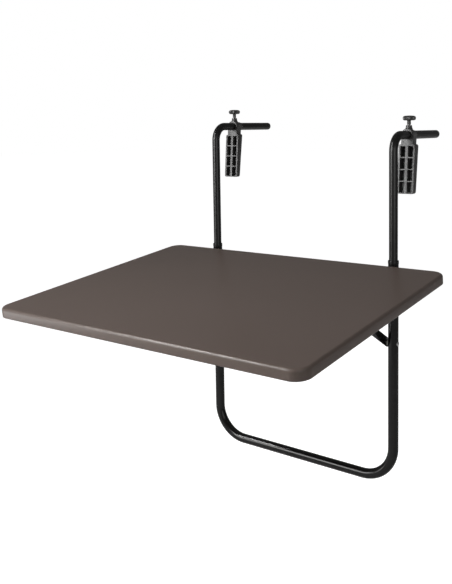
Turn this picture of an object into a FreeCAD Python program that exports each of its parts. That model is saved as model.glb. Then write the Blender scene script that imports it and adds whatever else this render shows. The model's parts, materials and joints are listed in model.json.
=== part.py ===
import FreeCAD, Part
import math
import os

# Balcony railing bar table: a folding top on a U-shaped tube frame that hangs by two hooks.
# Millimetres. X runs along the railing, +Y over the railing and away from the user, +Z up.
# The origin is on the railing's top face, midway between the hooks and in the middle of the
# gripped rail, at the level of the lower (right) hook's underside.

V = FreeCAD.Vector
X_AXIS = V(1, 0, 0)
Y_AXIS = V(0, 1, 0)
Z_AXIS = V(0, 0, 1)

# Tabletop
TOP_WIDTH = 780.0
TOP_DEPTH = 600.0
TOP_CORNER_R = 30.0
TOP_EDGE_R = 6.0
LIP_HEIGHT = 22.0
SHEET = 1.2
HEM_WIDTH = 8.0
TOP_FALL_DEG = 6.0          # fall of the open top towards the user
BACK_EDGE_GAP = 1.5         # between the level top's back edge and the legs' front

# Tubes: the hook's stem slides in the leg
HOOK_D = 20.0
HOOK_WALL = 1.2
LEG_PLAY = 0.5              # hook tube to the leg's inner wall
LEG_WALL = 1.5
LEG_SPACING = 512.0
LEG_HEIGHT = 516.0          # bottom bar's axis to the leg's open end
FRAME_BEND_R = 80.0

# Hooks
HOOK_REACH = 248.0          # leg's axis to the tip of the cap
HOOK_BEND_R = 37.0
HOOK_LOW_RISE = 294.0       # leg's open end to the hook's axis at the lowest setting
HOOK_STOP_GAP = 7.0         # stem's low end over the strut's rivet at the lowest setting
LEFT_RAISED = 28.0          # the left hook is drawn out this much more than the right
CAP_HEAD = 6.0
CAP_PLUG = 12.0
SPIGOT_CLEARANCE = 0.05

# Leg collar
COLLAR_OVERHANG = 0.4
COLLAR_HEAD = 8.0
COLLAR_SPIGOT = 25.0
COLLAR_EDGE = 0.8
SLIDE_CLEARANCE = 0.05

# Fold of the top
HINGE_DROP = 46.0           # leg's open end down to the hinge axis
TOP_OVER_HINGE = 45.5       # level top face over the hinge axis
PIVOT_D = 6.0
PIVOT_CLEARANCE = 0.1
WASHER_D = 14.0
WASHER_T = 1.0
PLATE_T = 3.0
SIDE_GAP = 0.3              # between flat neighbours that move past each other
EAR_R = 10.0
STUD_HEAD_D = 13.0
STUD_HEAD_T = 3.0

# Hinge bracket, side rails and stiffeners
BRACKET_REACH = 72.0        # bracket's front end ahead of the hinge axis
BRACKET_RIVET_D = 5.0
BRACKET_RIVET_FIRST = 38.0
BRACKET_RIVET_PITCH = 22.0
RIVET_BRIM = 2.0            # rivet head beyond its shank, all round
RIVET_HEAD_T = 1.6
RAIL_T = 1.5
RAIL_BELOW_LIP = 9.0
RAIL_FLANGE = 14.0
RAIL_END_GAP = 40.0         # rail's front end to the panel's front edge
RAIL_START = 26.0           # rail's back end ahead of the hinge axis
STIFFENER_H = 9.0
STIFFENER_W = 40.0
STIFFENER_BRIM = 10.0
STIFFENER_T = 1.2
STIFFENER_PLACES = (170.0, 450.0)
STIFFENER_END_GAP = 2.0

# Struts
STRUT_W = 20.5
STRUT_PIVOT_DROP = 140.0    # hinge axis to the strut's pivot
STRUT_SLOPE_DEG = 30.4
SLOT_UNDER_TOP = 21.5       # top face down to the middle of the rail's slot
SLOT_H = 6.4
SLOT_END_ROOM = 2.0
BLOCK_LENGTH = 10.0
BLOCK_CLEARANCE = 0.2
BLOCK_BRIM_H = 4.5          # flange beyond the neck, above and below
BLOCK_BRIM_L = 6.0          # flange beyond the neck, at each end
BLOCK_FLANGE_T = 3.0
DOME_BRIM = 2.5             # domed head beyond its shank, all round
DOME_H = 2.6

# Railing clamp
RAIL_GRIP = 55.0            # railing thickness between hook tube and jaw, at the rail's top
RING_OFFSET = 9.0           # clamp ring's front behind the grip's far side
RING_LENGTH = 31.0
RING_CLEARANCE = 0.1
RING_FRONT_WALL = 5.0
RING_BACK_WALL = 1.5
FLANGE_WALL = 5.8
FLANGE_T = 3.0
BOSS_WALL = 2.6
BOSS_FROM_FRONT = 10.0
GUSSET_BRIM = 4.2           # gusset's foot beyond the boss, all round
GUSSET_SINK = 2.0
JAW_WIDTH = 41.0
JAW_DROP = 138.0
JAW_TOP_T = 20.5
JAW_BOTTOM_T = 14.0
JAW_LEAN = 11.0             # bottom stands this much nearer to the user
JAW_CORNER_R = 5.0
JAW_SHOULDER = 22.0
JAW_RIM = 4.5
JAW_RIB = 6.5
JAW_CROSS_RIB = 2.6
JAW_BACK_WALL = 3.0
JAW_ROWS = 4
JAW_POCKET_DROP = 16.0      # under the hook tube to the top row's upper end

# Hand screws
SCREW_D = 6.0
THREAD_CLEARANCE = 0.1
PAD_T = 2.0
PAD_GAP = 0.1
INSERT_WALL = 1.4
INSERT_LENGTH = 6.5
CLAMP_PAD_BRIM = 0.5        # pad beyond its screw, all round
CLAMP_SCREW_TRAVEL = 4.0
HEIGHT_SCREW_DROP = 76.0    # leg's open end to the height screw
HEIGHT_NUT_WALL = 3.4
HEIGHT_NUT_LENGTH = 9.0
HEIGHT_SCREW_TRAVEL = 1.5
KNOB_R = 16.0
KNOB_H = 11.4
KNOB_LOBES = 5
KNOB_LOBE_R = 5.6
KNOB_NECK_R = 4.6
KNOB_NECK_H = 10.2
KNOB_GAP = 1.0              # tightened knob's neck to the boss
KNOB_DOME_R = 30.0

# Places worked out from the sizes
leg_x = LEG_SPACING / 2
hook_r = HOOK_D / 2
bore_r = hook_r + LEG_PLAY
leg_r = bore_r + LEG_WALL
screw_r = SCREW_D / 2
thread_r = screw_r + THREAD_CLEARANCE
leg_y = -(RAIL_GRIP / 2 + hook_r)
hook_z = hook_r
leg_top_z = hook_z - HOOK_LOW_RISE
bar_z = leg_top_z - LEG_HEIGHT
hinge_z = leg_top_z - HINGE_DROP
strut_z = hinge_z - STRUT_PIVOT_DROP
lip_w = TOP_OVER_HINGE - LIP_HEIGHT
under_w = TOP_OVER_HINGE - SHEET
slot_w = TOP_OVER_HINGE - SLOT_UNDER_TOP
back_u = leg_r + BACK_EDGE_GAP
front_u = back_u + TOP_DEPTH
pivot_r = PIVOT_D / 2
dome_r = pivot_r + DOME_BRIM
stem_low_z = strut_z + pivot_r + HOOK_STOP_GAP
washer_x = leg_x - leg_r - SIDE_GAP
plate_x = washer_x - WASHER_T - SIDE_GAP / 2
rail_x = plate_x - PLATE_T - SIDE_GAP
fall = math.radians(TOP_FALL_DEG)
slope = math.radians(STRUT_SLOPE_DEG)


def block(x, y, z):
    """A box from pairs of lower and upper bounds."""
    size = [abs(b - a) for a, b in (x, y, z)]
    return Part.makeBox(*size, V(min(x), min(y), min(z)))


def rod(radius, start, end):
    """A solid cylinder between two points."""
    axis = end - start
    return Part.makeCylinder(radius, axis.Length, start, axis)


def prism_x(points, x0, x1):
    """A prism along X from (y, z) points."""
    corners = [V(x0, y, z) for y, z in points]
    face = Part.Face(Part.makePolygon(corners + corners[:1]))
    return face.extrude(V(x1 - x0, 0, 0))


def rounded_plate(half_x, y0, y1, z0, z1, radius):
    """A flat plate with four rounded plan corners."""
    plate = block((-half_x, half_x), (y0, y1), (z0, z1))
    uprights = [e for e in plate.Edges if abs(e.BoundBox.ZLength - (z1 - z0)) < 1e-6]
    return plate.makeFillet(radius, uprights)


def edges_at_height(shape, z):
    return [e for e in shape.Edges if e.BoundBox.ZMin > z - 1e-6 and e.BoundBox.ZMax < z + 1e-6]


def bent_rod(points, radius, bend_r):
    """A round rod along a polyline whose corners are arcs of one radius."""
    edges = []
    start = points[0]
    for before, corner, after in zip(points, points[1:], points[2:]):
        back = (before - corner).normalize()
        ahead = (after - corner).normalize()
        half = back.getAngle(ahead) / 2
        reach = bend_r / math.tan(half)
        middle = (back + ahead).normalize()
        centre = corner + middle * (bend_r / math.sin(half))
        first = corner + back * reach
        last = corner + ahead * reach
        edges.append(Part.makeLine(start, first))
        edges.append(Part.Arc(first, centre - middle * bend_r, last).toShape())
        start = last
    edges.append(Part.makeLine(start, points[-1]))
    path = Part.Wire(edges)
    profile = Part.Face(Part.Wire(Part.makeCircle(radius, points[0], points[1] - points[0])))
    return path.makePipe(profile)


def bent_tube(points, radius, wall, bend_r):
    return bent_rod(points, radius, bend_r).cut(bent_rod(points, radius - wall, bend_r))


def slot_cutter(x0, x1, u0, u1, w, height):
    """A long hole through a plate that lies across X, with round ends."""
    r = height / 2
    cutter = block((x0, x1), (-u1 + r, -u0 - r), (w - r, w + r))
    for u in (u0 + r, u1 - r):
        cutter = cutter.fuse(rod(r, V(x0, -u, w), V(x1, -u, w)))
    return cutter


def mirrored(shape):
    return shape.mirror(V(0, 0, 0), X_AXIS)


def on_table(shape):
    """From the level top's own frame, with the hinge axis as its origin, to its place."""
    placed = shape.copy()
    placed.rotate(V(0, 0, 0), X_AXIS, TOP_FALL_DEG)
    placed.translate(V(0, leg_y, hinge_z))
    return placed


def raised(shape):
    """The left hook and all it carries stand higher than the right."""
    placed = mirrored(shape)
    placed.translate(V(0, 0, LEFT_RAISED))
    return placed


parts = {}


def keep(name, shape):
    parts[name] = shape


def keep_pair(name, right):
    keep(name + "_right", right)
    keep(name + "_left", mirrored(right))


def keep_table_pair(name, right):
    keep(name + "_right", on_table(right))
    keep(name + "_left", on_table(mirrored(right)))


def keep_hook_pair(name, right):
    keep(name + "_right", right)
    keep(name + "_left", raised(right))


# The strut's upper end when the top is open, in the level top's frame: where the strut's line
# meets the middle of the slot.
def strut_tip():
    rise = math.tan(slope)
    reach_u = (STRUT_PIVOT_DROP + slot_w * math.cos(fall) - rise * slot_w * math.sin(fall)) / (
        math.sin(fall) + rise * math.cos(fall))
    tip_y = -(reach_u * math.cos(fall) + slot_w * math.sin(fall))
    tip_z = slot_w * math.cos(fall) - reach_u * math.sin(fall)
    return reach_u, tip_y, tip_z


tip_u, tip_y, tip_z = strut_tip()
strut_length = math.hypot(tip_y, tip_z + STRUT_PIVOT_DROP)
folded_u = STRUT_PIVOT_DROP + math.sqrt(strut_length ** 2 - slot_w ** 2)
folded_slope_deg = -math.degrees(math.atan2(folded_u - STRUT_PIVOT_DROP, slot_w))
fold_deg = 90.0 - TOP_FALL_DEG
strut_ratio = (STRUT_SLOPE_DEG - folded_slope_deg) / fold_deg
block_ratio = (folded_u - tip_u) / math.radians(fold_deg)
level_u = tip_u - block_ratio * fall


def tabletop_panel():
    y_back, y_front = -back_u, -front_u
    half = TOP_WIDTH / 2
    outer = rounded_plate(half, y_front, y_back, lip_w, TOP_OVER_HINGE, TOP_CORNER_R)
    outer = outer.makeFillet(TOP_EDGE_R, edges_at_height(outer, TOP_OVER_HINGE))
    inner = rounded_plate(half - SHEET, y_front + SHEET, y_back - SHEET,
                          lip_w + SHEET, under_w, TOP_CORNER_R - SHEET)
    inner = inner.makeFillet(TOP_EDGE_R - SHEET, edges_at_height(inner, under_w))
    mouth = rounded_plate(half - HEM_WIDTH, y_front + HEM_WIDTH, y_back - HEM_WIDTH,
                          lip_w - SHEET, lip_w + 2 * SHEET, TOP_CORNER_R - HEM_WIDTH)
    return outer.cut(inner).cut(mouth)


def side_rail():
    """Folded rail: an upright web with the slider's slot and a flange against the sheet."""
    low_w = lip_w - RAIL_BELOW_LIP
    u1 = front_u - RAIL_END_GAP
    web = block((rail_x - RAIL_T, rail_x), (-u1, -RAIL_START), (low_w, under_w))
    flange = block((rail_x - RAIL_FLANGE, rail_x), (-u1, -RAIL_START), (under_w - RAIL_T, under_w))
    foot = block((rail_x - RAIL_FLANGE / 2, rail_x), (-u1, -RAIL_START), (low_w, low_w + RAIL_T))
    half = BLOCK_LENGTH / 2 + SLOT_END_ROOM
    slot = slot_cutter(rail_x - 2 * RAIL_T, rail_x + 1, level_u - half, folded_u + half,
                       slot_w, SLOT_H)
    rail = web.fuse([flange, foot]).cut(slot)
    for u in bracket_rivet_places():
        rail = rail.cut(rivet_hole(u))
    return rail.removeSplitter()


def top_stiffener(u):
    """Hat channel, open side up against the sheet."""
    half = rail_x - RAIL_FLANGE - STIFFENER_END_GAP
    y0, y1 = -u - STIFFENER_W / 2, -u + STIFFENER_W / 2
    low = under_w - STIFFENER_H
    hat = block((-half, half), (y0, y1), (low, under_w))
    hat = hat.cut(block((-half, half), (y0 + STIFFENER_T, y1 - STIFFENER_T),
                        (low + STIFFENER_T, under_w)))
    for a, b in ((y0 - STIFFENER_BRIM, y0), (y1, y1 + STIFFENER_BRIM)):
        hat = hat.fuse(block((-half, half), (a, b), (under_w - STIFFENER_T, under_w)))
    return hat.removeSplitter()


def bracket_rivet_places():
    return [BRACKET_RIVET_FIRST + i * BRACKET_RIVET_PITCH for i in range(2)]


def bracket_rivet_w():
    return (lip_w + under_w) / 2 - RIVET_HEAD_T


def rivet_hole(u):
    w = bracket_rivet_w()
    return rod(BRACKET_RIVET_D / 2, V(rail_x - 3 * RAIL_T, -u, w), V(plate_x + 1, -u, w))


def hinge_bracket():
    """Ear plate: eye on the hinge axis, neck under the back lip, tab against the rail's web."""
    x0, x1 = rail_x, plate_x
    neck_w = lip_w - SHEET
    eye = rod(EAR_R, V(x0, 0, 0), V(x1, 0, 0))
    tab_back = back_u + HEM_WIDTH + SHEET
    tab_top = under_w - 2 * SHEET
    outline = [(EAR_R * 0.5, EAR_R * 0.8), (-EAR_R, neck_w), (-tab_back, neck_w),
               (-tab_back, tab_top), (-BRACKET_REACH, tab_top), (-BRACKET_REACH, neck_w),
               (-BRACKET_REACH * 0.6, lip_w - RAIL_BELOW_LIP), (-EAR_R * 0.6, -EAR_R * 0.8)]
    plate = eye.fuse(prism_x(outline, x0, x1))
    plate = plate.cut(rod(pivot_r + PIVOT_CLEARANCE, V(x0 - 1, 0, 0), V(x1 + 1, 0, 0)))
    for u in bracket_rivet_places():
        plate = plate.cut(rivet_hole(u))
    return plate.removeSplitter()


def bracket_rivets():
    """Two rivets through bracket and rail, a flat head on each side."""
    w = bracket_rivet_w()
    head_r = BRACKET_RIVET_D / 2 + RIVET_BRIM
    made = []
    for u in bracket_rivet_places():
        body = rod(BRACKET_RIVET_D / 2, V(rail_x - RAIL_T, -u, w), V(plate_x, -u, w))
        inner = rod(head_r, V(rail_x - RAIL_T - RIVET_HEAD_T, -u, w), V(rail_x - RAIL_T, -u, w))
        outer = rod(head_r, V(plate_x, -u, w), V(plate_x + WASHER_T, -u, w))
        made.append(body.fuse([inner, outer]).removeSplitter())
    return Part.makeCompound(made)


def hinge_stud():
    """Shoulder stud welded to the leg's inner side, headed inside the bracket's eye."""
    leg_surface = rod(leg_r, V(leg_x, leg_y, hinge_z - 50), V(leg_x, leg_y, hinge_z + 50))
    head_x = rail_x - SIDE_GAP
    shank = rod(pivot_r, V(head_x, leg_y, hinge_z), V(leg_x, leg_y, hinge_z)).cut(leg_surface)
    head = rod(STUD_HEAD_D / 2, V(head_x - STUD_HEAD_T, leg_y, hinge_z), V(head_x, leg_y, hinge_z))
    head = head.makeFillet(STUD_HEAD_T * 0.5, [e for e in head.Edges if e.BoundBox.XMax < head_x - 1])
    return shank.fuse(head).removeSplitter()


def washer_at(z):
    x0, x1 = washer_x - WASHER_T, washer_x
    ring = rod(WASHER_D / 2, V(x0, leg_y, z), V(x1, leg_y, z))
    return ring.cut(rod(pivot_r + PIVOT_CLEARANCE, V(x0 - 1, leg_y, z), V(x1 + 1, leg_y, z)))


def strut_rivet():
    """Rivet through the leg and the strut, with a domed head on the leg's outer side."""
    out_x = leg_x + leg_r
    head_x = rail_x - SIDE_GAP / 2
    shank = rod(pivot_r, V(head_x, leg_y, strut_z), V(out_x, leg_y, strut_z))
    inner = rod(dome_r, V(head_x - DOME_H, leg_y, strut_z), V(head_x, leg_y, strut_z))
    seat = rod(dome_r, V(leg_x, leg_y, strut_z), V(out_x + DOME_H, leg_y, strut_z))
    sphere_r = (dome_r ** 2 + DOME_H ** 2) / (2 * DOME_H)
    dome = seat.common(Part.makeSphere(sphere_r, V(out_x + DOME_H - sphere_r, leg_y, strut_z)))
    leg_core = rod(leg_r, V(leg_x, leg_y, strut_z - 50), V(leg_x, leg_y, strut_z + 50))
    return shank.fuse([inner, dome.cut(leg_core)]).removeSplitter()


def strut():
    """Flat bar with round ends, from the pivot on the leg to the slider under the top."""
    x0, x1 = plate_x - PLATE_T, plate_x
    half = STRUT_W / 2
    bar = block((x0, x1), (-strut_length, 0), (-half, half))
    for y in (0, -strut_length):
        bar = bar.fuse(rod(half, V(x0, y, 0), V(x1, y, 0)))
    bar = bar.removeSplitter()
    for y in (0, -strut_length):
        bar = bar.cut(rod(pivot_r + PIVOT_CLEARANCE, V(x0 - 1, y, 0), V(x1 + 1, y, 0)))
    return on_strut(bar)


def on_strut(shape):
    """From the strut's own frame, lying along -Y from its pivot, to its place."""
    placed = shape.copy()
    placed.rotate(V(0, 0, 0), X_AXIS, -STRUT_SLOPE_DEG)
    placed.translate(V(0, leg_y, strut_z))
    return placed


def strut_tip_rivet():
    """Short rivet in the strut's upper end; its shank stops at the slider's face."""
    x0 = plate_x - PLATE_T
    y = -strut_length
    shank = rod(pivot_r, V(x0, y, 0), V(plate_x, y, 0))
    head = rod(dome_r, V(plate_x, y, 0), V(plate_x + RIVET_HEAD_T, y, 0))
    return on_strut(shank.fuse(head).removeSplitter())


def slide_block():
    """Nylon slider: a neck in the slot and a flange behind the rail's web."""
    r = SLOT_H / 2 - BLOCK_CLEARANCE
    half = BLOCK_LENGTH / 2
    web_x = rail_x - RAIL_T
    neck = block((web_x - SIDE_GAP, rail_x), (-tip_u - half, -tip_u + half),
                 (slot_w - r, slot_w + r))
    neck = neck.makeFillet(r * 0.9, [e for e in neck.Edges if e.BoundBox.XLength > RAIL_T])
    flange = block((web_x - SIDE_GAP - BLOCK_FLANGE_T, web_x - SIDE_GAP),
                   (-tip_u - half - BLOCK_BRIM_L, -tip_u + half + BLOCK_BRIM_L),
                   (slot_w - r - BLOCK_BRIM_H, slot_w + r + BLOCK_BRIM_H))
    flange = flange.makeFillet(2.0, [e for e in flange.Edges if e.BoundBox.XLength > 1])
    return neck.fuse(flange).removeSplitter()


def u_frame():
    """Legs and bottom bar: one tube with two bends, drilled for pivots and height screws."""
    corners = [V(-leg_x, leg_y, leg_top_z), V(-leg_x, leg_y, bar_z),
               V(leg_x, leg_y, bar_z), V(leg_x, leg_y, leg_top_z)]
    tube = bent_tube(corners, leg_r, LEG_WALL, FRAME_BEND_R)
    for side in (-1, 1):
        x = side * leg_x
        tube = tube.cut(rod(pivot_r + PIVOT_CLEARANCE, V(x - 2 * leg_r, leg_y, strut_z),
                            V(x + 2 * leg_r, leg_y, strut_z)))
        tube = tube.cut(rod(thread_r, V(x, leg_y, height_screw_z()),
                            V(x + side * 2 * leg_r, leg_y, height_screw_z())))
    return tube


def leg_collar():
    """Plastic bush: a head on the leg's end and a thin spigot inside it."""
    spigot_r = bore_r - SPIGOT_CLEARANCE
    base = V(leg_x, leg_y, leg_top_z)
    head = rod(leg_r + COLLAR_OVERHANG, base, base + Z_AXIS * COLLAR_HEAD)
    head = head.makeFillet(COLLAR_EDGE, edges_at_height(head, leg_top_z + COLLAR_HEAD))
    spigot = rod(spigot_r, base - Z_AXIS * COLLAR_SPIGOT, base)
    bore = rod(hook_r + SLIDE_CLEARANCE, base - Z_AXIS * (COLLAR_SPIGOT + 1),
               base + Z_AXIS * (COLLAR_HEAD + 1))
    return head.fuse(spigot).cut(bore).removeSplitter()


def hook_tube():
    """Straight stem in the leg, one bend, level arm over the railing."""
    low = V(leg_x, leg_y, stem_low_z)
    corner = V(leg_x, leg_y, hook_z)
    tip = V(leg_x, leg_y + HOOK_REACH - CAP_HEAD, hook_z)
    return bent_tube([low, corner, tip], hook_r, HOOK_WALL, HOOK_BEND_R)


def hook_cap():
    """Plug with a rounded head, in the arm's open end."""
    y = leg_y + HOOK_REACH - CAP_HEAD
    head = rod(hook_r, V(leg_x, y, hook_z), V(leg_x, y + CAP_HEAD, hook_z))
    head = head.makeFillet(CAP_HEAD * 0.8, [e for e in head.Edges if e.BoundBox.YMin > y + 1])
    plug_r = hook_r - HOOK_WALL - SPIGOT_CLEARANCE
    plug = rod(plug_r, V(leg_x, y - CAP_PLUG, hook_z), V(leg_x, y, hook_z))
    return head.fuse(plug).removeSplitter()


# The clamp's ring front, boss and jaw faces, as distances behind the leg's axis.
ring_front = hook_r + RAIL_GRIP + RING_OFFSET
ring_front_r = hook_r + RING_FRONT_WALL
boss_at = ring_front + BOSS_FROM_FRONT
clamp_pad_r = screw_r + CLAMP_PAD_BRIM
pocket_r = clamp_pad_r + BLOCK_CLEARANCE
pocket_top = hook_r + PAD_T + CLAMP_SCREW_TRAVEL + PAD_GAP + BLOCK_CLEARANCE
insert_r = screw_r + INSERT_WALL + THREAD_CLEARANCE
boss_top = pocket_top + INSERT_LENGTH
boss_r = insert_r + BOSS_WALL


def jaw_front(drop):
    return leg_y + ring_front - JAW_LEAN * drop / JAW_DROP


def jaw_back(drop):
    return jaw_front(drop) + JAW_TOP_T + (JAW_BOTTOM_T - JAW_TOP_T) * drop / JAW_DROP


def jaw_pocket(x0, x1, upper, lower):
    """One deep pocket in the jaw's front face, between two drops under the hook's axis."""
    points = [(jaw_front(upper) - 1, hook_z - upper), (jaw_back(upper) - JAW_BACK_WALL, hook_z - upper),
              (jaw_back(lower) - JAW_BACK_WALL, hook_z - lower), (jaw_front(lower) - 1, hook_z - lower)]
    return prism_x(points, x0, x1)


def clamp_jaw():
    """One moulding: ring round the arm, boss for the screw, and the ribbed jaw below."""
    half = JAW_WIDTH / 2
    profile = [(jaw_front(0), hook_z), (jaw_back(0), hook_z),
               (jaw_back(JAW_DROP), hook_z - JAW_DROP), (jaw_front(JAW_DROP), hook_z - JAW_DROP)]
    jaw = prism_x(profile, leg_x - half, leg_x + half)
    outline = block((leg_x - half, leg_x + half), (leg_y, leg_y + HOOK_REACH),
                    (hook_z - JAW_DROP, hook_z - JAW_SHOULDER))
    outline = outline.makeFillet(JAW_CORNER_R, [e for e in outline.Edges if e.BoundBox.YLength > 10])
    neck = block((leg_x - ring_front_r, leg_x + ring_front_r), (leg_y, leg_y + HOOK_REACH),
                 (hook_z - JAW_SHOULDER - JAW_CORNER_R * 2, hook_z))
    jaw = jaw.common(outline.fuse(neck))
    inner = half - JAW_RIM
    top = hook_r + JAW_POCKET_DROP
    pitch = (JAW_DROP - top) / JAW_ROWS
    for row in range(JAW_ROWS):
        upper = top + row * pitch
        lower = upper + pitch - JAW_CROSS_RIB
        for a, b in ((-inner, -JAW_RIB / 2), (JAW_RIB / 2, inner)):
            if upper < JAW_SHOULDER + JAW_CORNER_R:
                a, b = max(a, JAW_RIM - ring_front_r), min(b, ring_front_r - JAW_RIM)
            jaw = jaw.cut(jaw_pocket(leg_x + a, leg_x + b, upper, lower))
    y0 = leg_y + ring_front
    flange = rod(hook_r + FLANGE_WALL, V(leg_x, y0, hook_z), V(leg_x, y0 + FLANGE_T, hook_z))
    ring = Part.makeCone(ring_front_r, hook_r + RING_BACK_WALL, RING_LENGTH - FLANGE_T,
                         V(leg_x, y0 + FLANGE_T, hook_z), Y_AXIS)
    boss_y = leg_y + boss_at
    boss = rod(boss_r, V(leg_x, boss_y, hook_z), V(leg_x, boss_y, hook_z + boss_top))
    gusset = Part.makeCone(boss_r + GUSSET_BRIM, boss_r, boss_top - hook_r,
                           V(leg_x, boss_y, hook_z + hook_r - GUSSET_SINK), Z_AXIS)
    body = jaw.fuse([flange, ring, boss, gusset])
    bore = rod(hook_r + RING_CLEARANCE, V(leg_x, y0 - JAW_TOP_T, hook_z),
               V(leg_x, y0 + RING_LENGTH + 1, hook_z))
    pocket = rod(pocket_r, V(leg_x, boss_y, hook_z), V(leg_x, boss_y, hook_z + pocket_top))
    seat = rod(insert_r, V(leg_x, boss_y, hook_z + pocket_top),
               V(leg_x, boss_y, hook_z + boss_top + 1))
    return body.cut(bore).cut(pocket).cut(seat).removeSplitter()


def hand_screw(pad_low, pad_r, neck_base):
    """Screw, nylon tip and knob along +Z over a hook or leg axis at the origin."""
    pad = rod(pad_r, V(0, 0, 0), V(0, 0, pad_low + PAD_T))
    screw_top = neck_base + KNOB_NECK_H + KNOB_H * 0.6
    screw = rod(screw_r, V(0, 0, pad_low + PAD_T), V(0, 0, screw_top))
    neck = rod(KNOB_NECK_R, V(0, 0, neck_base), V(0, 0, neck_base + KNOB_NECK_H + 1))
    z0 = neck_base + KNOB_NECK_H
    head = rod(KNOB_R - KNOB_LOBE_R, V(0, 0, z0), V(0, 0, z0 + KNOB_H))
    for i in range(KNOB_LOBES):
        angle = 2 * math.pi * (i + 0.5) / KNOB_LOBES
        centre = V(math.sin(angle), -math.cos(angle), 0) * (KNOB_R - KNOB_LOBE_R)
        head = head.fuse(rod(KNOB_LOBE_R, centre + V(0, 0, z0), centre + V(0, 0, z0 + KNOB_H)))
    head = head.removeSplitter()
    top = Part.makeSphere(KNOB_DOME_R, V(0, 0, z0 + KNOB_H - KNOB_DOME_R))
    base = Part.makeCone(KNOB_R - KNOB_H * 0.25, KNOB_R + KNOB_H * 0.5, KNOB_H,
                         V(0, 0, z0), Z_AXIS)
    head = head.common(top).common(base)
    knob = head.fuse(neck).cut(rod(screw_r, V(0, 0, neck_base - 1), V(0, 0, screw_top)))
    return pad, screw, knob.removeSplitter()


def clamp_screw_set():
    """The clamp's hand screw stands on the arm and points up."""
    pad, screw, knob = hand_screw(hook_r + PAD_GAP, clamp_pad_r, boss_top + KNOB_GAP)
    pad = pad.cut(rod(hook_r + PAD_GAP, V(0, -20, 0), V(0, 20, 0)))
    place = V(leg_x, leg_y + boss_at, hook_z)
    for shape in (pad, screw, knob):
        shape.translate(place)
    return pad, screw, knob


def height_screw_z():
    return leg_top_z - HEIGHT_SCREW_DROP


def height_screw_set():
    """The height screw stands on the stem inside the leg and points outwards."""
    reach = leg_r + HEIGHT_NUT_LENGTH
    made = hand_screw(hook_r + PAD_GAP, screw_r, reach + KNOB_GAP)
    pad = made[0].cut(rod(hook_r + PAD_GAP, V(-20, 0, 0), V(20, 0, 0)))
    placed = []
    for shape in (pad, made[1], made[2]):
        shape.rotate(V(0, 0, 0), Y_AXIS, 90)
        shape.translate(V(leg_x, leg_y, height_screw_z()))
        placed.append(shape)
    return placed


def height_nut():
    """Threaded bush welded on the leg's outer side."""
    z = height_screw_z()
    end_x = leg_x + leg_r + HEIGHT_NUT_LENGTH
    bush = rod(thread_r + HEIGHT_NUT_WALL, V(leg_x, leg_y, z), V(end_x, leg_y, z))
    leg_core = rod(leg_r, V(leg_x, leg_y, z - 50), V(leg_x, leg_y, z + 50))
    hole = rod(thread_r, V(leg_x, leg_y, z), V(end_x + 1, leg_y, z))
    return bush.cut(leg_core).cut(hole)


def clamp_insert():
    """Threaded sleeve in the boss, flush with its top."""
    place = V(leg_x, leg_y + boss_at, hook_z)
    sleeve = rod(insert_r, place + Z_AXIS * pocket_top, place + Z_AXIS * boss_top)
    hole = rod(thread_r, place, place + Z_AXIS * (boss_top + 1))
    return sleeve.cut(hole)


# Tabletop and all that is fixed to it
keep("tabletop_panel", on_table(tabletop_panel()))
keep_table_pair("side_rail", side_rail())
keep_table_pair("hinge_bracket", hinge_bracket())
keep_table_pair("bracket_rivets", bracket_rivets())
for name, place in zip(("back", "front"), STIFFENER_PLACES):
    keep("top_stiffener_" + name, on_table(top_stiffener(place)))
keep_table_pair("slide_block", slide_block())

# Frame
keep("u_frame", u_frame())
keep_pair("leg_collar", leg_collar())
keep_pair("hinge_stud", hinge_stud())
keep_pair("hinge_washer", washer_at(hinge_z))
keep_pair("strut_rivet", strut_rivet())
keep_pair("strut_washer", washer_at(strut_z))
keep_pair("height_nut", height_nut())
for name, shape in zip(("height_pad", "height_screw", "height_knob"), height_screw_set()):
    keep_pair(name, shape)

# Struts
keep_pair("strut", strut())
keep_pair("strut_tip_rivet", strut_tip_rivet())

# Hooks and clamps
keep_hook_pair("hook_tube", hook_tube())
keep_hook_pair("hook_cap", hook_cap())
keep_hook_pair("clamp_jaw", clamp_jaw())
keep_hook_pair("clamp_insert", clamp_insert())
for name, shape in zip(("clamp_pad", "clamp_screw", "clamp_knob"), clamp_screw_set()):
    keep_hook_pair(name, shape)

os.makedirs("parts", exist_ok=True)
for name, shape in parts.items():
    shape.exportStep("parts/" + name + ".step")
    solids = len(shape.Solids)
    print(f"{name}: {solids} solid, {shape.Volume:.1f} mm3, valid {shape.isValid()}")
print(f"hinge z {hinge_z:.3f}, strut pivot z {strut_z:.3f}, leg y {leg_y:.3f}")
print(f"tip u {tip_u:.3f}, folded u {folded_u:.3f}, level u {level_u:.3f}, strut {strut_length:.3f}")
print(f"strut ratio {strut_ratio:.6f}, block travel per radian {block_ratio:.4f} mm")
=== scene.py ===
import json
import math

import bmesh
import bpy
from mathutils import Matrix, Vector


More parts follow.
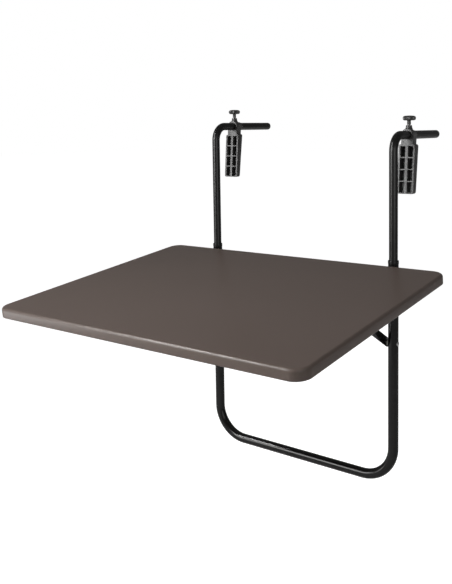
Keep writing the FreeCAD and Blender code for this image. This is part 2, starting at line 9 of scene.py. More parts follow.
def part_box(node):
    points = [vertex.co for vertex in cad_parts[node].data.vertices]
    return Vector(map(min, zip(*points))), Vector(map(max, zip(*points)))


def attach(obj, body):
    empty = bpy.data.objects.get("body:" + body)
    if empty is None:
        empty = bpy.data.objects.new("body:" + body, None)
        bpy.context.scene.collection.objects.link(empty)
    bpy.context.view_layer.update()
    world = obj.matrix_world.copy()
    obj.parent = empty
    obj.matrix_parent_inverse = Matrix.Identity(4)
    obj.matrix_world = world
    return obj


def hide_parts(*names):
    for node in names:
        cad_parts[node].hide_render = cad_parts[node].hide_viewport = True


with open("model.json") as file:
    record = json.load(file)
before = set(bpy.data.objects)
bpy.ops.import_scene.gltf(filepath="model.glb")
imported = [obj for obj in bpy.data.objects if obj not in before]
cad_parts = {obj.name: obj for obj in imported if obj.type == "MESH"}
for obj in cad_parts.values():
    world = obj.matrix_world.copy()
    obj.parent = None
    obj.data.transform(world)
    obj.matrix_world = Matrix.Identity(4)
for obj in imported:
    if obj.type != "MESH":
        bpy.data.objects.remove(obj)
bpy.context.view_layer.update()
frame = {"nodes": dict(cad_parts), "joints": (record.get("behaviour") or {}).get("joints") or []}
scene = bpy.context.scene


# Frame: one 24 mm steel tube, bent twice into both legs and the bottom bar. It is
# coated in satin black powder, baked to a fine orange peel.
LEG_R = 0.012
LEG_WALL = 0.0015
FRAME_BEND_R = 0.080
TUBE_SIDES = 72
BEND_STEPS = 30
QUARTER = math.pi / 2
SAME_POINT = 1e-6
SMOOTH_UNDER = math.radians(34)
MIX_DARK, MIX_LIGHT, MIX_SHADE = 6, 7, 2
CLOUD_DETAIL = 1.5
CLOUD_RANGE = (0.2, 0.8)
BLACK = (0.0045, 0.0042, 0.0040)
BLACK_WORN = (0.0065, 0.0061, 0.0058)

frame_low, frame_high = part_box("u_frame")
leg_x = frame_high.x - LEG_R
leg_y = (frame_low.y + frame_high.y) / 2
leg_top = frame_high.z
bar_z = frame_low.z + LEG_R


def finish_texture(name, detail, stretch=(1, 1, 1)):
    """A finish's own grain: small relief, and slow clouds in its shade and gloss."""
    group = bpy.data.node_groups.new(name, "ShaderNodeTree")
    for way, kind, labels in (
            ("INPUT", "NodeSocketColor", ("Dark Shade", "Light Shade")),
            ("INPUT", "NodeSocketFloat", ("Smoothest", "Dullest", "Grain Scale", "Cloud Scale")),
            ("OUTPUT", "NodeSocketColor", ("Color",)),
            ("OUTPUT", "NodeSocketFloat", ("Roughness", "Height"))):
        for label in labels:
            group.interface.new_socket(label, in_out=way, socket_type=kind)
    nodes, links = group.nodes, group.links
    given, result = nodes.new("NodeGroupInput"), nodes.new("NodeGroupOutput")
    place = nodes.new("ShaderNodeTexCoord")
    spread = nodes.new("ShaderNodeMapping")
    spread.inputs["Scale"].default_value = stretch
    links.new(place.outputs["Object"], spread.inputs["Vector"])
    grain = nodes.new("ShaderNodeTexNoise")
    grain.inputs["Detail"].default_value = detail
    cloud = nodes.new("ShaderNodeTexNoise")
    cloud.inputs["Detail"].default_value = CLOUD_DETAIL
    for noise, scale in ((grain, "Grain Scale"), (cloud, "Cloud Scale")):
        links.new(spread.outputs["Vector"], noise.inputs["Vector"])
        links.new(given.outputs[scale], noise.inputs["Scale"])
    contrast = nodes.new("ShaderNodeMapRange")
    low, high = contrast.inputs["From Min"], contrast.inputs["From Max"]
    low.default_value, high.default_value = CLOUD_RANGE
    links.new(cloud.outputs["Fac"], contrast.inputs["Value"])
    shade = nodes.new("ShaderNodeMix")
    shade.data_type = "RGBA"
    gloss = nodes.new("ShaderNodeMapRange")
    links.new(contrast.outputs["Result"], shade.inputs["Factor"])
    links.new(given.outputs["Dark Shade"], shade.inputs[MIX_DARK])
    links.new(given.outputs["Light Shade"], shade.inputs[MIX_LIGHT])
    links.new(contrast.outputs["Result"], gloss.inputs["Value"])
    links.new(given.outputs["Smoothest"], gloss.inputs["To Min"])
    links.new(given.outputs["Dullest"], gloss.inputs["To Max"])
    links.new(shade.outputs[MIX_SHADE], result.inputs["Color"])
    links.new(gloss.outputs["Result"], result.inputs["Roughness"])
    links.new(grain.outputs["Fac"], result.inputs["Height"])
    return group


def finish(name, texture, dark, light, gloss, scales, relief, shine, metallic=0.0):
    """A Principled material that wears one of the finish textures."""
    material = bpy.data.materials.new(name)
    material.use_nodes = True
    nodes, links = material.node_tree.nodes, material.node_tree.links
    shader = nodes["Principled BSDF"]
    shader.inputs["Metallic"].default_value = metallic
    shader.inputs["Specular IOR Level"].default_value = shine
    worn = nodes.new("ShaderNodeGroup")
    worn.node_tree = texture
    worn.inputs["Dark Shade"].default_value = (*dark, 1)
    worn.inputs["Light Shade"].default_value = (*light, 1)
    worn.inputs["Smoothest"].default_value, worn.inputs["Dullest"].default_value = gloss
    worn.inputs["Grain Scale"].default_value, worn.inputs["Cloud Scale"].default_value = scales
    bump = nodes.new("ShaderNodeBump")
    bump.inputs["Strength"].default_value = 1.0
    bump.inputs["Distance"].default_value = relief
    links.new(worn.outputs["Color"], shader.inputs["Base Color"])
    links.new(worn.outputs["Roughness"], shader.inputs["Roughness"])
    links.new(worn.outputs["Height"], bump.inputs["Height"])
    links.new(bump.outputs["Normal"], shader.inputs["Normal"])
    return material


def tube_end(bm, outer, inner, place):
    """The outer and inner edge rings of a tube's cut end."""
    before = set(bm.edges)
    for radius in (outer, inner):
        bmesh.ops.create_circle(bm, cap_ends=False, segments=TUBE_SIDES, radius=radius,
                                matrix=place)
    return [edge for edge in bm.edges if edge not in before]


def run_straight(bm, edges, step):
    """Draws edges on by a straight step and returns the new ends."""
    made = bmesh.ops.extrude_edge_only(bm, edges=edges)["geom"]
    ends = {item for item in made if isinstance(item, bmesh.types.BMVert)}
    bmesh.ops.translate(bm, vec=step, verts=list(ends))
    return [item for item in made
            if isinstance(item, bmesh.types.BMEdge) and ends.issuperset(item.verts)]


def run_bend(bm, edges, centre, axis, angle, steps):
    """Bends edges on round a centre and returns the new ends."""
    corners = list({corner for edge in edges for corner in edge.verts})
    made = bmesh.ops.spin(bm, geom=corners + edges, cent=centre, axis=axis, angle=angle,
                          steps=steps, use_duplicate=False)
    return [item for item in made["geom_last"] if isinstance(item, bmesh.types.BMEdge)]


def make_piece(name, bm, material, slot, body, *nodes):
    """A finished piece: closed, facing outwards, smooth between its sharp edges."""
    bmesh.ops.remove_doubles(bm, verts=bm.verts, dist=SAME_POINT)
    bmesh.ops.recalc_face_normals(bm, faces=bm.faces)
    mesh = bpy.data.meshes.new(name)
    bm.to_mesh(mesh)
    bm.free()
    mesh.shade_smooth()
    mesh.set_sharp_from_angle(angle=SMOOTH_UNDER)
    mesh.materials.append(material)
    piece = bpy.data.objects.new(name, mesh)
    scene.collection.objects.link(piece)
    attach(piece, body)
    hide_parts(*nodes)
    return piece


powder_peel = finish_texture("powder_peel", 1.5)
black_coat = finish("black_powder_coat", powder_peel, BLACK, BLACK_WORN, gloss=(0.16, 0.21),
                    scales=(500, 14), relief=0.0000012, shine=0.30)

bm = bmesh.new()
start = tube_end(bm, LEG_R, LEG_R - LEG_WALL, Matrix.Translation((-leg_x, leg_y, leg_top)))
bend_top = bar_z + FRAME_BEND_R
ends = run_straight(bm, start, (0, 0, bend_top - leg_top))
bend_x = leg_x - FRAME_BEND_R
ends = run_bend(bm, ends, (-bend_x, leg_y, bend_top), (0, 1, 0), -QUARTER, BEND_STEPS)
ends = run_straight(bm, ends, (2 * bend_x, 0, 0))
ends = run_bend(bm, ends, (bend_x, leg_y, bend_top), (0, 1, 0), -QUARTER, BEND_STEPS)
ends = run_straight(bm, ends, (0, 0, leg_top - bend_top))
bmesh.ops.bridge_loops(bm, edges=start)
bmesh.ops.bridge_loops(bm, edges=ends)
make_piece("leg_frame_tube", bm, black_coat, "black_paint", "frame", "u_frame")


# Leg collars: black moulded bushes pressed into the open leg ends. A rounded head sits
# on the tube's rim, and the hook tube slides through the bore.
HOOK_R = 0.010
COLLAR_HEAD_R = 0.0124
COLLAR_HEAD = 0.008
COLLAR_SPIGOT_R = 0.01045
COLLAR_SPIGOT = 0.025
COLLAR_BORE_R = 0.01005
COLLAR_FLARE = 0.0006
COLLAR_FLARE_DEPTH = 0.0008
PLASTIC = (0.0070, 0.0067, 0.0065)
PLASTIC_PALE = (0.0100, 0.0096, 0.0093)
SIDES = ("right", "left")


def round_corners(bm, points, outline, steps):
    """Rounds an outline's corners, each by the radius that stands third in its line."""
    for point, (_, _, corner) in zip(points, outline):
        if corner:
            bmesh.ops.bevel(bm, geom=[point], offset=corner, segments=steps, profile=0.5,
                            affect="VERTICES", material=-1)


def lathe(bm, outline, sides, place=Matrix()):
    """Turns (radius, height, corner radius) points round Z, then puts the shape in its place."""
    before = set(bm.verts)
    points = [bm.verts.new((radius, 0, height)) for radius, height, corner in outline]
    for pair in zip(points, points[1:]):
        bm.edges.new(pair)
    if outline[0][0] > 0:
        bm.edges.new((points[-1], points[0]))
    round_corners(bm, points, outline, steps=4)
    made = [point for point in bm.verts if point not in before]
    edges = list({edge for point in made for edge in point.link_edges})
    bmesh.ops.spin(bm, geom=made + edges, cent=(0, 0, 0), axis=(0, 0, 1), angle=2 * math.pi,
                   steps=sides, use_merge=True, use_duplicate=False)
    made = [point for point in bm.verts if point not in before]
    bmesh.ops.remove_doubles(bm, verts=made, dist=SAME_POINT)
    made = [point for point in bm.verts if point not in before]
    bmesh.ops.transform(bm, matrix=place, verts=made)
    return made


def set_side(bm, side, lift=0.0):
    """Mirrors a right-hand piece for the left side, and lifts it."""
    if side == "left":
        bmesh.ops.scale(bm, vec=(-1, 1, 1), verts=bm.verts)
    bmesh.ops.translate(bm, vec=(0, 0, lift), verts=bm.verts)


moulded_grain = finish_texture("moulded_grain", 3.0)
black_plastic = finish("black_plastic", moulded_grain, PLASTIC, PLASTIC_PALE, gloss=(0.30, 0.38),
                       scales=(1500, 30), relief=0.000008, shine=0.30)

for side in SIDES:
    bm = bmesh.new()
    lathe(bm, [(COLLAR_BORE_R, -COLLAR_SPIGOT, 0),
               (COLLAR_SPIGOT_R, -COLLAR_SPIGOT, 0.0002),
               (COLLAR_SPIGOT_R, 0, 0),
               (COLLAR_HEAD_R, 0, 0.0002),
               (COLLAR_HEAD_R, COLLAR_HEAD, 0.0011),
               (COLLAR_BORE_R + COLLAR_FLARE, COLLAR_HEAD, 0.0003),
               (COLLAR_BORE_R, COLLAR_HEAD - COLLAR_FLARE_DEPTH, 0)],
          TUBE_SIDES, Matrix.Translation((leg_x, leg_y, leg_top)))
    set_side(bm, side)
    make_piece("leg_collar_bush_" + side, bm, black_plastic, "black_plastic", "frame",
               "leg_collar_" + side)


# Height nuts: threaded steel bushes welded to the outer side of each leg, for the hand
# screw that holds the hook's height. The weld follows the leg's round.
NUT_R = 0.0065
NUT_BORE_R = 0.0031
NUT_FOOT = LEG_R - 0.0022
NUT_END = 0.021
NUT_FLARE = 0.0005
NUT_FLARE_DEPTH = 0.0006
WELD_R = 0.0016
WELD_IN = WELD_R * 0.6
WELD_OUT = WELD_R * 0.7
WELD_ROUND = WELD_R * 0.8
WELD_RIPPLES = 34
WELD_RIPPLE_H = 0.00012
SMALL_SIDES = 48
RING_SIDES = 96
HUG_LIMIT = 0.98
ALONG_X = Matrix(((0, 0, 1, 0), (1, 0, 0, 0), (0, 1, 0, 0), (0, 0, 0, 1)))
nut_low, nut_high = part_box("height_nut_right")
nut_z = (nut_low.z + nut_high.z) / 2


def hug_leg(points):
    """Moves points inwards along X as a leg's surface falls away beside its middle."""
    for point in points:
        beside = min(abs(point.co.y - leg_y), LEG_R * HUG_LIMIT)
        point.co.x += math.sqrt(LEG_R ** 2 - beside ** 2) - LEG_R


def weld_bead(bm, place):
    """A bead round the bush's foot, with the ripples that the torch leaves."""
    bead = lathe(bm, [(NUT_R - WELD_IN, -WELD_R, WELD_ROUND),
                      (NUT_R + WELD_R, -WELD_R, WELD_ROUND),
                      (NUT_R + WELD_R, WELD_OUT, WELD_ROUND),
                      (NUT_R - WELD_IN, WELD_OUT, WELD_ROUND)], RING_SIDES)
    for point in bead:
        angle = math.atan2(point.co.y, point.co.x)
        point.co.z += WELD_RIPPLE_H * math.sin(WELD_RIPPLES * angle)
    bmesh.ops.transform(bm, matrix=place, verts=bead)
    hug_leg(bead)


for side in SIDES:
    bm = bmesh.new()
    on_leg = Matrix.Translation((leg_x, leg_y, nut_z)) @ ALONG_X
    lathe(bm, [(NUT_BORE_R, NUT_FOOT, 0), (NUT_R, NUT_FOOT, 0), (NUT_R, NUT_END, 0.0007),
               (NUT_BORE_R + NUT_FLARE, NUT_END, 0.0002),
               (NUT_BORE_R, NUT_END - NUT_FLARE_DEPTH, 0)], SMALL_SIDES, on_leg)
    weld_bead(bm, Matrix.Translation((LEG_R, 0, 0)) @ on_leg)
    set_side(bm, side)
    make_piece("height_nut_bush_" + side, bm, black_coat, "black_paint", "frame",
               "height_nut_" + side)


# Hook tubes: 20 mm steel tube, bent once. The stem slides in the leg, and the arm reaches
# back from its top. The coat is the frame's, with faint marks along it from the collar.
HOOK_WALL = 0.0012
HOOK_BEND_R = 0.037
hook_low, hook_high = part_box("hook_tube_right")
hook_z = hook_high.z - HOOK_R
arm_end = hook_high.y
left_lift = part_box("hook_tube_left")[1].z - hook_high.z
hook_lift = {"right": 0.0, "left": left_lift}

slide_marks = finish_texture("slide_marks", 2.0, (1, 1, 0.012))
stem_coat = finish("black_coat_on_hooks", slide_marks, BLACK, BLACK_WORN, gloss=(0.28, 0.34),
                   scales=(1100, 260), relief=0.000002, shine=0.45)
for side in SIDES:
    bm = bmesh.new()
    start = tube_end(bm, HOOK_R, HOOK_R - HOOK_WALL,
                     Matrix.Translation((leg_x, leg_y, hook_low.z)))
    bend_z = hook_z - HOOK_BEND_R
    ends = run_straight(bm, start, (0, 0, bend_z - hook_low.z))
    ends = run_bend(bm, ends, (leg_x, leg_y + HOOK_BEND_R, bend_z), (1, 0, 0), -QUARTER,
                    BEND_STEPS)
    ends = run_straight(bm, ends, (0, arm_end - leg_y - HOOK_BEND_R, 0))
    bmesh.ops.bridge_loops(bm, edges=start)
    bmesh.ops.bridge_loops(bm, edges=ends)
    set_side(bm, side, hook_lift[side])
    make_piece("hook_bent_tube_" + side, bm, stem_coat, "black_paint", "hook_" + side,
               "hook_tube_" + side)


# Hook caps: black moulded plugs that close the arms. A short barbed plug holds in the
# bore, and the head is as wide as the tube, with a rounded edge.
CAP_HEAD = 0.006
CAP_EDGE = 0.0026
CAP_PLUG = 0.012
CAP_PLUG_R = 0.00875
CAP_PLUG_TAPER = 0.0008
CAP_BARBS = (-0.010, -0.007, -0.004)
CAP_BARB_DEPTH = 0.0006
CAP_BARB_FALL = 0.0003
ALONG_Y = Matrix.Rotation(-QUARTER, 4, "X")
for side in SIDES:
    bm = bmesh.new()
    outline = [(0, -CAP_PLUG, 0), (CAP_PLUG_R - CAP_PLUG_TAPER, -CAP_PLUG, 0.0004)]
    for barb in CAP_BARBS:
        outline += [(CAP_PLUG_R, barb, 0), (CAP_PLUG_R - CAP_BARB_DEPTH, barb + CAP_BARB_FALL, 0)]
    outline += [(CAP_PLUG_R - CAP_BARB_DEPTH, 0, 0), (HOOK_R, 0, 0.0003),
                (HOOK_R, CAP_HEAD, CAP_EDGE), (0, CAP_HEAD, 0)]
    lathe(bm, outline, TUBE_SIDES, Matrix.Translation((leg_x, arm_end, hook_z)) @ ALONG_Y)
    set_side(bm, side, hook_lift[side])
    make_piece("hook_end_cap_" + side, bm, black_plastic, "black_plastic", "hook_" + side,
               "hook_cap_" + side)


# Clamp jaws: one charcoal moulding each. A ring slides on the arm, a boss on top takes the
# hand screw, and the long jaw hangs from it, with deep pockets between its ribs.
RING_FRONT = 0.074
RING_LENGTH = 0.031
RING_R = 0.015
RING_END_R = 0.0115
RING_BORE_R = 0.0101
FLANGE_R = 0.0158
FLANGE_T = 0.003
BOSS_Y = 0.084
BOSS_R = 0.0071
BOSS_TOP = 0.0228
BOSS_SIDES = 72
GUSSET_R = 0.0138
GUSSET_LOW = 0.0065
GUSSET_HIGH = BOSS_TOP - 0.003
GUSSET_CURVE = 1.7
GUSSET_STEPS = 8
GUSSET_FRONT = RING_FRONT + FLANGE_T * 0.8
PAD_POCKET_R = 0.0037
PAD_POCKET_LOW = 0.002
INSERT_R = 0.0045
INSERT_LOW = 0.0163
CHARCOAL = (0.0270, 0.0262, 0.0255)
CHARCOAL_PALE = (0.0330, 0.0321, 0.0312)
JAW_HALF = 0.0205
JAW_CORNER = 0.005
JAW_NECK_HALF = 0.015
JAW_NECK_CORNER = 0.003
JAW_SHOULDER = 0.022
JAW_DROP = 0.138
JAW_TOP_T = 0.0205
JAW_BOTTOM_T = 0.014
JAW_LEAN = 0.011
JAW_RIM = 0.0045
JAW_RIB = 0.0065
JAW_CROSS_RIB = 0.0026
JAW_BACK_WALL = 0.003
JAW_ROWS = 4
JAW_FIRST_ROW = 0.026
JAW_DRAFT = 0.0004
RIB_ROUND = 0.0008
EDGE_ROUND = 0.0014
MOULDED_EDGE_FROM = math.radians(40)
ON_PLANE = 1e-7
CUT_CLEAR = 0.01
BORE_REACH = (-0.03, 0.05)


def jaw_front(drop):
    """The Y of the jaw's front face at a drop below the arm."""
    return RING_FRONT - JAW_LEAN * drop / JAW_DROP


def jaw_back(drop):
    """The Y of its back face."""
    return jaw_front(drop) + JAW_TOP_T + (JAW_BOTTOM_T - JAW_TOP_T) * drop / JAW_DROP


def round_edges(bm, edges, radius, steps, clamp=False):
    """Rounds edges to a radius. A clamped radius stops where it meets the next one."""
    bmesh.ops.bevel(bm, geom=edges, offset=radius, segments=steps, profile=0.5, affect="EDGES",
                    material=-1, clamp_overlap=clamp)


def cut_across(bm, faces, place, direction):
    """Splits flat faces along a plane."""
    geometry = list({item for face in faces for item in (face, *face.edges, *face.verts)})
    bmesh.ops.bisect_plane(bm, geom=geometry, dist=ON_PLANE, plane_co=place, plane_no=direction)


def jaw_plate():
    """The hanging jaw: its outline, drawn back to the leaning and tapering thickness."""
    bm = bmesh.new()
    half = [(-JAW_NECK_HALF, 0, 0), (-JAW_NECK_HALF, -JAW_SHOULDER, JAW_NECK_CORNER),
            (-JAW_HALF, -JAW_SHOULDER, JAW_CORNER), (-JAW_HALF, -JAW_DROP, JAW_CORNER)]
    outline = half + [(-x, z, corner) for x, z, corner in reversed(half)]
    points = [bm.verts.new((x, 0, z)) for x, z, corner in outline]
    bm.faces.new(points)
    round_corners(bm, points, outline, steps=6)
    pitch = (JAW_DROP - JAW_FIRST_ROW) / JAW_ROWS
    rows = [(JAW_FIRST_ROW + i * pitch, JAW_FIRST_ROW + (i + 1) * pitch - JAW_CROSS_RIB)
            for i in range(JAW_ROWS)]
    inner = JAW_HALF - JAW_RIM
    for x in (-inner, -JAW_RIB / 2, JAW_RIB / 2, inner):
        cut_across(bm, bm.faces, (x, 0, 0), (1, 0, 0))
    for upper, lower in rows:
        for drop in (upper, lower):
            cut_across(bm, bm.faces, (0, 0, -drop), (0, 0, 1))
    front = list(bm.faces)
    made = bmesh.ops.extrude_face_region(bm, geom=front)["geom"]
    rear = {item for item in made if isinstance(item, bmesh.types.BMVert)}
    for point in bm.verts:
        drop = -point.co.z
        point.co.y = jaw_back(drop) if point in rear else jaw_front(drop)

    def in_pocket(face):
        """Whether a face lies between the ribs."""
        centre = face.calc_center_median()
        in_row = any(upper < -centre.z < lower for upper, lower in rows)
        return in_row and JAW_RIB / 2 < abs(centre.x) < inner

    for pocket in [face for face in front if in_pocket(face)]:
        middle = pocket.calc_center_median()
        made = bmesh.ops.extrude_face_region(bm, geom=[pocket])["geom"]
        bmesh.ops.delete(bm, geom=[pocket], context="FACES_ONLY")
        for point in (item for item in made if isinstance(item, bmesh.types.BMVert)):
            point.co.x -= math.copysign(JAW_DRAFT, point.co.x - middle.x)
            point.co.z -= math.copysign(JAW_DRAFT, point.co.z - middle.z)
            point.co.y = jaw_back(-point.co.z) - JAW_BACK_WALL
    bm.normal_update()
    bmesh.ops.recalc_face_normals(bm, faces=bm.faces)

    def sharp_at(place):
        """The sharp edges in the jaw's front or back face."""
        return [edge for edge in bm.edges if edge.calc_face_angle(0) > MOULDED_EDGE_FROM
                and all(abs(end.co.y - place(-end.co.z)) < SAME_POINT for end in edge.verts)]

    round_edges(bm, sharp_at(jaw_front), RIB_ROUND, steps=4, clamp=True)
    round_edges(bm, sharp_at(jaw_back), EDGE_ROUND, steps=4, clamp=True)
    return bm


def solid(bm):
    """A plain closed object for joining or cutting."""
    bmesh.ops.remove_doubles(bm, verts=bm.verts, dist=SAME_POINT)
    bmesh.ops.recalc_face_normals(bm, faces=bm.faces)
    mesh = bpy.data.meshes.new("solid")
    bm.to_mesh(mesh)
    bm.free()
    shape = bpy.data.objects.new("solid", mesh)
    scene.collection.objects.link(shape)
    return shape


def joined(first, steps):
    """A bmesh of one solid after others have been joined to it or cut from it."""
    shapes = [solid(first)]
    for operation, other in steps:
        shapes.append(solid(other))
        step = shapes[0].modifiers.new("step", "BOOLEAN")
        step.operation = operation
        step.solver = "EXACT"
        step.object = shapes[-1]
    bpy.context.view_layer.update()
    result = bmesh.new()
    result.from_object(shapes[0], bpy.context.evaluated_depsgraph_get())
    for shape in shapes:
        mesh = shape.data
        bpy.data.objects.remove(shape)
        bpy.data.meshes.remove(mesh)
    return result


def turned(outline, sides, place):
    """A new bmesh of one turned shape."""
    bm = bmesh.new()
    lathe(bm, outline, sides, place)
    return bm


def clamp_moulding():
    """The jaw, ring and boss joined, with the arm's bore and the screw's seat cut out."""
    on_arm = Matrix.Translation((0, RING_FRONT, 0)) @ ALONG_Y
    on_boss = Matrix.Translation((0, BOSS_Y, 0))
    ring = turned([(0, 0, 0), (FLANGE_R, 0, 0.0024), (FLANGE_R, FLANGE_T, 0.0004),
                   (RING_R, FLANGE_T + 0.0004, 0.0003), (RING_END_R, RING_LENGTH, 0.0005),
                   (0, RING_LENGTH, 0)], RING_SIDES, on_arm)
    flare = [(0, GUSSET_LOW, 0), (GUSSET_R, GUSSET_LOW, 0)]
    for i in range(GUSSET_STEPS):
        share = (i + 1) / GUSSET_STEPS
        flare.append((BOSS_R + (GUSSET_R - BOSS_R) * (1 - share) ** GUSSET_CURVE,
                      GUSSET_LOW + (GUSSET_HIGH - GUSSET_LOW) * share, 0))
    flare += [(BOSS_R, BOSS_TOP, 0.0007), (0, BOSS_TOP, 0)]
    boss = turned(flare, BOSS_SIDES, on_boss)
    cut = bmesh.ops.bisect_plane(boss, geom=[*boss.verts, *boss.edges, *boss.faces], dist=ON_PLANE,
                                 plane_co=(0, GUSSET_FRONT, 0), plane_no=(0, -1, 0),
                                 clear_outer=True)["geom_cut"]
    bmesh.ops.contextual_create(
        boss, geom=[item for item in cut if isinstance(item, bmesh.types.BMEdge)])
    bore_low, bore_high = BORE_REACH
    bore = turned([(0, bore_low, 0), (RING_BORE_R, bore_low, 0), (RING_BORE_R, bore_high, 0),
                   (0, bore_high, 0)], RING_SIDES, on_arm)
    seat_high = BOSS_TOP + CUT_CLEAR
    seat = turned([(0, PAD_POCKET_LOW, 0), (PAD_POCKET_R, PAD_POCKET_LOW, 0),
                   (PAD_POCKET_R, INSERT_LOW, 0), (INSERT_R, INSERT_LOW, 0),
                   (INSERT_R, seat_high, 0), (0, seat_high, 0)], SMALL_SIDES, on_boss)
    return joined(jaw_plate(), [("UNION", ring), ("UNION", boss), ("DIFFERENCE", bore),
                                ("DIFFERENCE", seat)])


charcoal_plastic = finish("charcoal_plastic", moulded_grain, CHARCOAL, CHARCOAL_PALE,
                          gloss=(0.36, 0.44), scales=(1500, 30), relief=0.000008, shine=0.70)
for side in SIDES:
    bm = clamp_moulding()
    bmesh.ops.translate(bm, vec=(leg_x, leg_y, hook_z), verts=bm.verts)
    set_side(bm, side, hook_lift[side])
    make_piece("clamp_jaw_moulding_" + side, bm, charcoal_plastic, "black_plastic",
               "clamp_" + side, "clamp_jaw_" + side)


# Thread inserts: brass sleeves that take the hand screws, turned and knurled. They are
# moulded into the bosses, flush with their tops.
KNURLS = 36
KNURL_DEPTH = 0.03
INSERT_SKIN_R = INSERT_R - 0.0001
INSERT_PLAIN_FROM = BOSS_TOP - 0.0005
INSERT_FLARE = 0.0003
INSERT_FLARE_DEPTH = 0.0004
BRASS = (0.52, 0.37, 0.15)
BRASS_DULL = (0.40, 0.28, 0.12)
turned_brass = finish("turned_brass", finish_texture("lathe_marks", 2.0, (1, 1, 30)),
                      BRASS_DULL, BRASS, gloss=(0.24, 0.36), scales=(400, 60), relief=0.000004,
                      shine=0.5, metallic=1.0)


def stand_on_boss(bm):
    """Moves what was turned round Z onto the right boss."""
    bmesh.ops.translate(bm, vec=(leg_x, leg_y + BOSS_Y, hook_z), verts=bm.verts)


for side in SIDES:
    bm = bmesh.new()
    sleeve = lathe(bm, [(NUT_BORE_R, INSERT_LOW, 0), (INSERT_R, INSERT_LOW, 0.0002),
                        (INSERT_R, BOSS_TOP, 0.00025),
                        (NUT_BORE_R + INSERT_FLARE, BOSS_TOP, 0.0001),
                        (NUT_BORE_R, BOSS_TOP - INSERT_FLARE_DEPTH, 0)], KNURLS * 4)
    for point in sleeve:
        reach = math.hypot(point.co.x, point.co.y)
        if reach > INSERT_SKIN_R and point.co.z < INSERT_PLAIN_FROM:
            wave = 0.5 + 0.5 * math.cos(KNURLS * math.atan2(point.co.y, point.co.x))
            point.co.x *= 1 - KNURL_DEPTH * wave
            point.co.y *= 1 - KNURL_DEPTH * wave
    stand_on_boss(bm)
    set_side(bm, side, hook_lift[side])
    make_piece("clamp_thread_insert_" + side, bm, turned_brass, "brass", "clamp_" + side,
               "clamp_insert_" + side)


# Hand screws: zinc-plated M6 screws moulded into charcoal lobed knobs. One stands on each
# arm and one lies across each leg, and all press through a nylon tip.
SCREW_R = 0.003
THREAD_DEPTH = 0.00055
THREAD_PITCH = 0.001
THREAD_STEPS = 24
THREAD_START = 0.001
THREAD_ROOT = 0.0001
THREAD_CREST = (0.40, 0.50)
THREAD_END = 0.90
SCREW_POINT = 0.0004
SCREW_POINT_H = 0.0008
SCREW_IN_KNOB = 0.002
KNOB_R = 0.016
KNOB_VALLEY_R = 0.0108
KNOB_H = 0.0114
KNOB_SIDES = 120
KNOB_LOBES = 5
KNOB_LOBE_CURVE = 0.75
KNOB_NECK_R = 0.0046
KNOB_NECK_H = 0.0102
KNOB_LOBES_FROM = 0.001
KNOB_SOCKET_R = SCREW_R + 0.00005
KNOB_SOCKET = 0.001
KNOB_THROAT = ((-0.0003, -0.0018), (0.0001, -0.0006), (0.0012, -0.0001))
KNOB_HEAD = ((0.0080, 0), (0.0105, 0), (0.0128, 0.0002), (0.0146, 0.0012), (0.0156, 0.0030),
             (KNOB_R, 0.0052), (0.01575, 0.0074), (0.0148, 0.0090), (0.0130, 0.0101),
             (0.0105, 0.0108), (0.0070, 0.0112), (0.0035, KNOB_H), (0, KNOB_H))
KNOB_GAP = 0.001
PAD_TOP = 0.0121
ZINC = (0.58, 0.58, 0.57)
ZINC_DULL = (0.44, 0.44, 0.44)
zinc_plate = finish("zinc_plate", finish_texture("plating_mottle", 3.0), ZINC_DULL, ZINC,
                    gloss=(0.22, 0.34), scales=(900, 120), relief=0.000004, shine=0.5,
                    metallic=1.0)


def threaded_screw(low, high):
    """A screw's core with the ridge of its thread wound round it."""
    bm = bmesh.new()
    core_r = SCREW_R - THREAD_DEPTH
    root_r = core_r - THREAD_ROOT
    lathe(bm, [(0, low, 0), (core_r - SCREW_POINT, low, 0.0003), (core_r, low + SCREW_POINT_H, 0),
               (core_r, high, 0), (0, high, 0)], SMALL_SIDES)
    turns = int((high - low - 2 * THREAD_START) / THREAD_PITCH)
    crest_low, crest_high = THREAD_CREST
    tooth = bm.faces.new([bm.verts.new((radius, 0, low + THREAD_START + THREAD_PITCH * share))
                          for radius, share in ((root_r, 0), (SCREW_R, crest_low),
                                                (SCREW_R, crest_high), (root_r, THREAD_END))])
    bmesh.ops.spin(bm, geom=[tooth], cent=(0, 0, 0), axis=(0, 0, 1), angle=2 * math.pi * turns,
                   dvec=(0, 0, THREAD_PITCH / THREAD_STEPS), steps=THREAD_STEPS * turns,
                   use_duplicate=False)
    return bm


def lobed_knob(base):
    """A five-lobed hand knob: a turned mushroom drawn in between its lobes."""
    bm = bmesh.new()
    head = base + KNOB_NECK_H
    outline = [(0, base + KNOB_SOCKET, 0), (KNOB_SOCKET_R, base + KNOB_SOCKET, 0),
               (KNOB_SOCKET_R, base, 0), (KNOB_NECK_R, base, 0.0004)]
    outline += [(KNOB_NECK_R + wider, head + above, 0) for wider, above in KNOB_THROAT]
    outline += [(radius, head + above, 0) for radius, above in KNOB_HEAD]
    lathe(bm, outline, KNOB_SIDES)
    for point in bm.verts:
        reach = math.hypot(point.co.x, point.co.y)
        if reach > KNOB_NECK_R + KNOB_LOBES_FROM:
            angle = math.atan2(point.co.x, -point.co.y)
            wave = 0.5 + 0.5 * math.cos(KNOB_LOBES * (angle - math.pi / KNOB_LOBES))
            drawn = (KNOB_VALLEY_R + (KNOB_R - KNOB_VALLEY_R) * wave ** KNOB_LOBE_CURVE) / KNOB_R
            share = min(1, (reach - KNOB_NECK_R) / (KNOB_R - KNOB_NECK_R))
            share = share * share * (3 - 2 * share)
            point.co.x *= 1 - share * (1 - drawn)
            point.co.y *= 1 - share * (1 - drawn)
    return bm


